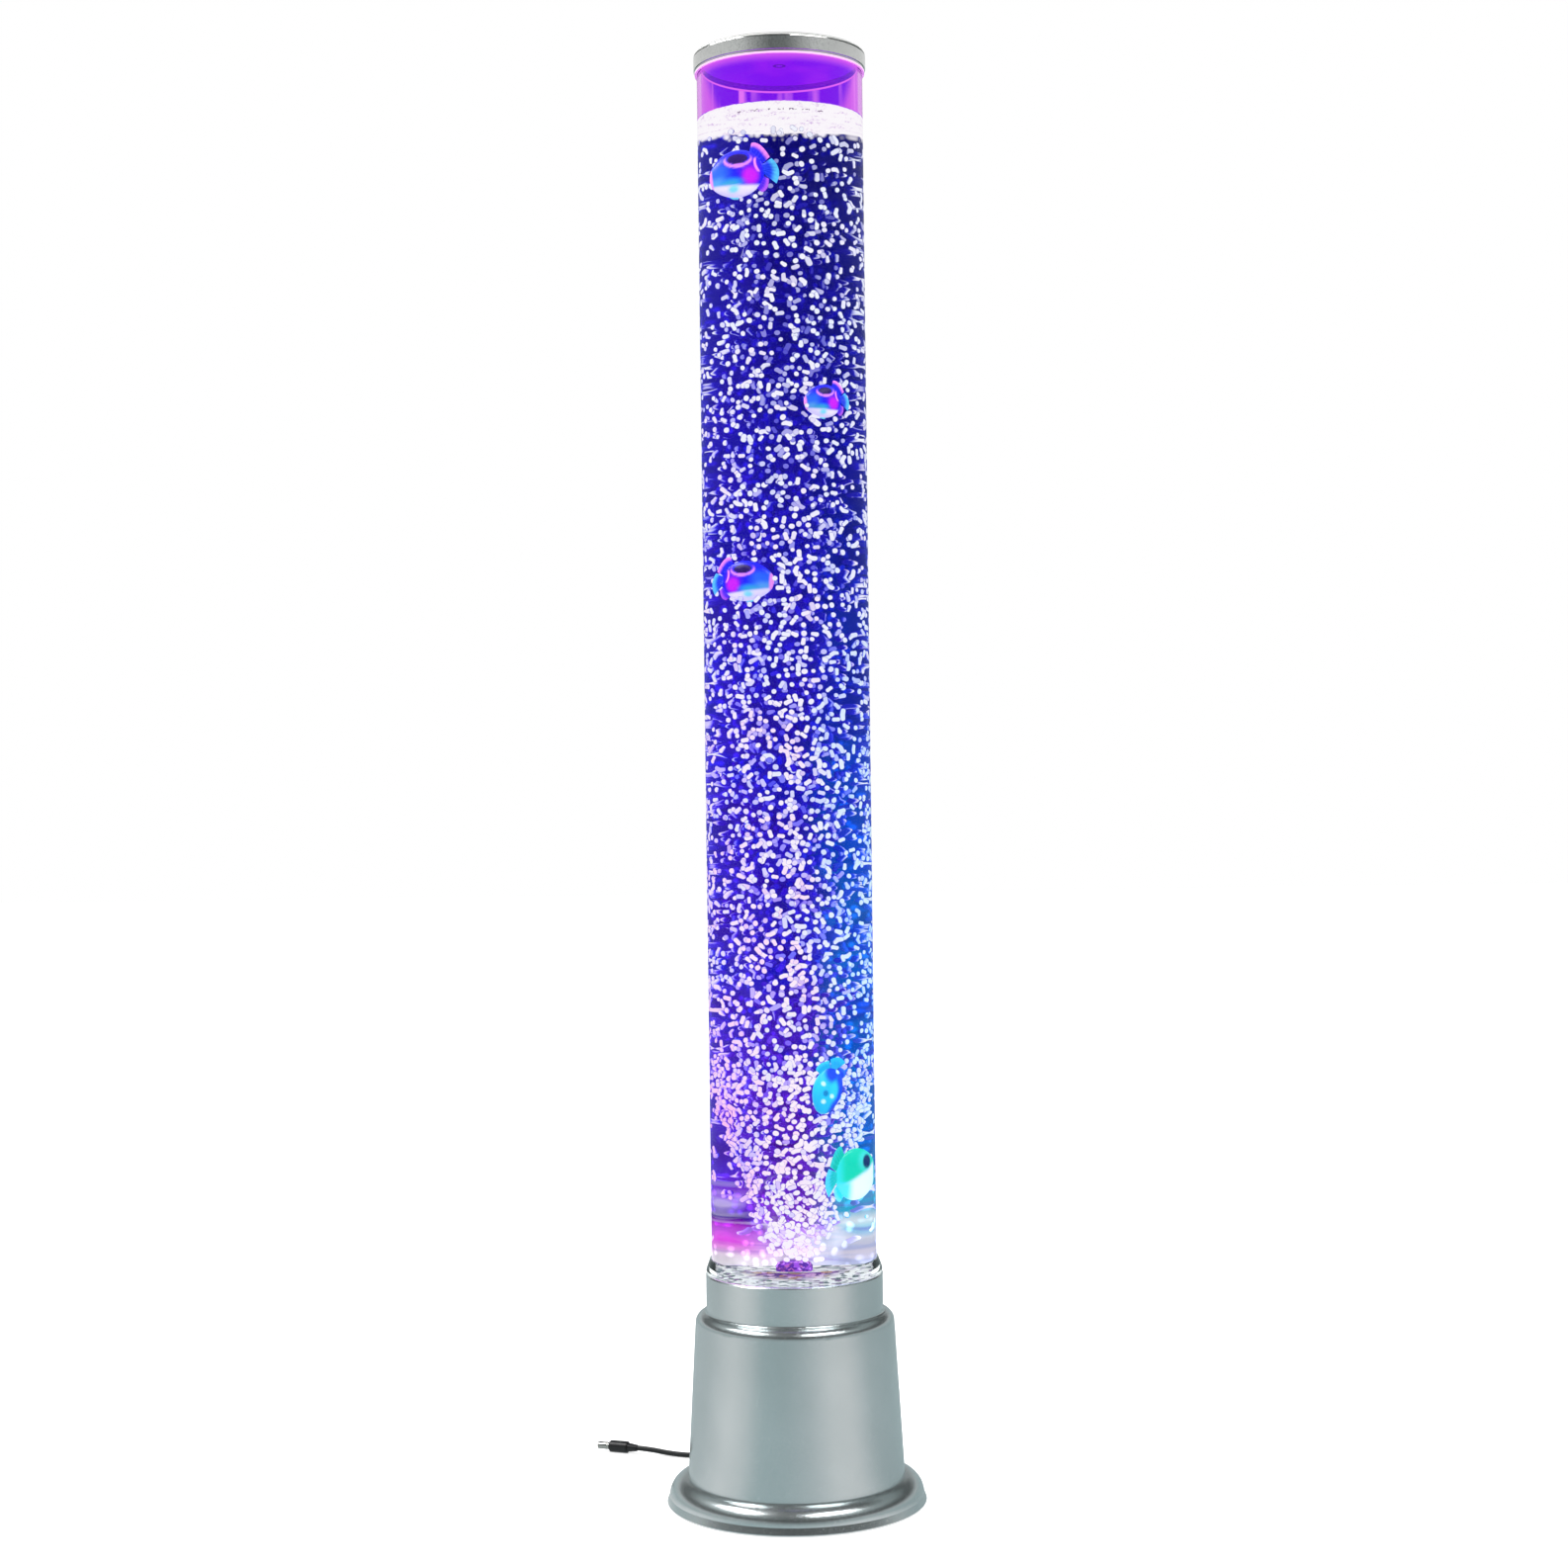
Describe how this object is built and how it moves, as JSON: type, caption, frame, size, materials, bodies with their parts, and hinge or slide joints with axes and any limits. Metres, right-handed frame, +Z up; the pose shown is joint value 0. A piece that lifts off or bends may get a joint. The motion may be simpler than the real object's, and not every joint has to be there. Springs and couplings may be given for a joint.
{
  "type": "bubble tube floor lamp",
  "caption": "Tall clear water tube with floating fish on a round silver base that holds an air pump, coloured lights and controls; a lid and rubber band close the top.",
  "frame": {"origin": "on the floor, at the middle of the round base", "axes": "+Z up along the tube; the front faces -Y and the mode button and lead outlet are at the rear, +Y"},
  "size_m": [0.2498, 0.2752, 1.05],
  "materials": {
    "silver_paint": "satin silver paint on moulded plastic",
    "clear_tube": "polished clear acrylic",
    "clear_ring": "clear acrylic, glued",
    "tank_floor": "clear acrylic that lets the light through",
    "black_rubber": "matte",
    "grey_rubber": "matte",
    "clear_hose": "translucent silicone",
    "black_plastic": "fine grain",
    "grey_plastic": "fine grain",
    "white_plastic": "smooth",
    "green_plastic": "translucent",
    "steel": "zinc plated",
    "core_steel": "stacked sheets",
    "magnet": "sintered",
    "copper_wire": "enamelled winding",
    "circuit_board": "green solder mask",
    "white_board": "white solder mask",
    "lamp_lens": "clear lamp body",
    "air_stone": "porous",
    "nickel": "nickel plated",
    "red_wire": "insulated wire",
    "black_cord": "smooth cord",
    "blue_fish": "painted soft plastic",
    "cyan_fish": "painted soft plastic",
    "green_fish": "painted soft plastic"
  },
  "bodies": {
    "base": {"base_housing": "silver_paint", "tube_collar": "silver_paint", "collar_screws": "steel", "bottom_plate": "black_plastic", "plate_screws": "steel", "rubber_feet": "black_rubber", "clear_tube": "clear_tube", "tube_foot_ring": "clear_ring", "tank_floor": "tank_floor", "floor_seal": "grey_rubber", "lid_seal": "black_rubber", "air_stone": "air_stone", "air_fitting": "white_plastic", "fitting_seal": "grey_rubber", "fitting_nut": "white_plastic", "upper_hose": "clear_hose", "valve_body": "green_plastic", "lower_hose": "clear_hose", "pump_case": "grey_plastic", "pump_cover": "grey_plastic", "pump_screws": "steel", "pump_mounts": "black_rubber", "pump_head": "black_plastic", "pump_diaphragm": "black_rubber", "pump_pivot_pin": "steel", "pump_core": "core_steel", "pump_winding": "copper_wire", "light_board": "white_board", "light_lamps": "lamp_lens", "light_screws": "steel", "control_board": "circuit_board", "board_parts": "black_plastic", "board_screws": "steel", "mode_switch": "black_plastic", "light_wires": "red_wire", "pump_wires": "red_wire", "lead_wires": "black_cord", "strain_relief": "black_rubber", "lead_run": "black_cord", "lead_coil": "black_cord", "lead_tail": "black_cord", "coil_tie": "black_plastic", "plug_body": "black_plastic", "plug_barrel": "nickel"},
    "lid": {"lid": "silver_paint"},
    "fill_plug": {"fill_plug": "grey_plastic"},
    "top_left_fish": {"fish_top_left": "blue_fish"},
    "upper_right_fish": {"fish_upper_right": "blue_fish"},
    "mid_left_fish": {"fish_mid_left": "blue_fish"},
    "low_right_fish": {"fish_low_right": "cyan_fish"},
    "bottom_right_fish": {"fish_bottom_right": "green_fish"},
    "mode_button": {"mode_button": "grey_plastic"},
    "pump_arm": {"pump_arm": "steel", "pump_magnet": "magnet"},
    "valve_disc": {"valve_disc": "grey_rubber"}
  },
  "joints": [
    {"name": "lid_lift", "type": "slide", "parent": "base", "child": "lid", "axis": [0, 0, 1], "range_m": [0, 0.06]},
    {"name": "plug_pull", "type": "slide", "parent": "lid", "child": "fill_plug", "axis": [0, 0, 1], "range_m": [0, 0.03]},
    {"name": "top_left_float", "type": "slide", "parent": "base", "child": "top_left_fish", "axis": [0, 0, 1], "range_m": [-0.12, 0.015]},
    {"name": "upper_right_float", "type": "slide", "parent": "base", "child": "upper_right_fish", "axis": [0, 0, 1], "range_m": [-0.08, 0.15]},
    {"name": "mid_left_float", "type": "slide", "parent": "base", "child": "mid_left_fish", "axis": [0, 0, 1], "range_m": [-0.42, 0.12]},
    {"name": "low_right_float", "type": "slide", "parent": "base", "child": "low_right_fish", "axis": [0, 0, 1], "range_m": [-0.005, 0.35]},
    {"name": "bottom_right_float", "type": "slide", "parent": "base", "child": "bottom_right_fish", "axis": [0, 0, 1], "range_m": [-0.035, 0.01]},
    {"name": "button_press", "type": "slide", "parent": "base", "child": "mode_button", "axis": [0, -1, 0], "range_m": [0, 0.001], "stiffness_N_per_m": 300},
    {"name": "arm_swing", "type": "hinge", "parent": "base", "child": "pump_arm", "pos_m": [0.001, -0.01435, 0.03], "axis": [0, 0, 1], "range_deg": [-2, 2]},
    {"name": "valve_lift", "type": "slide", "parent": "base", "child": "valve_disc", "axis": [0, 0, 1], "range_m": [0, 0.003]}
  ]
}
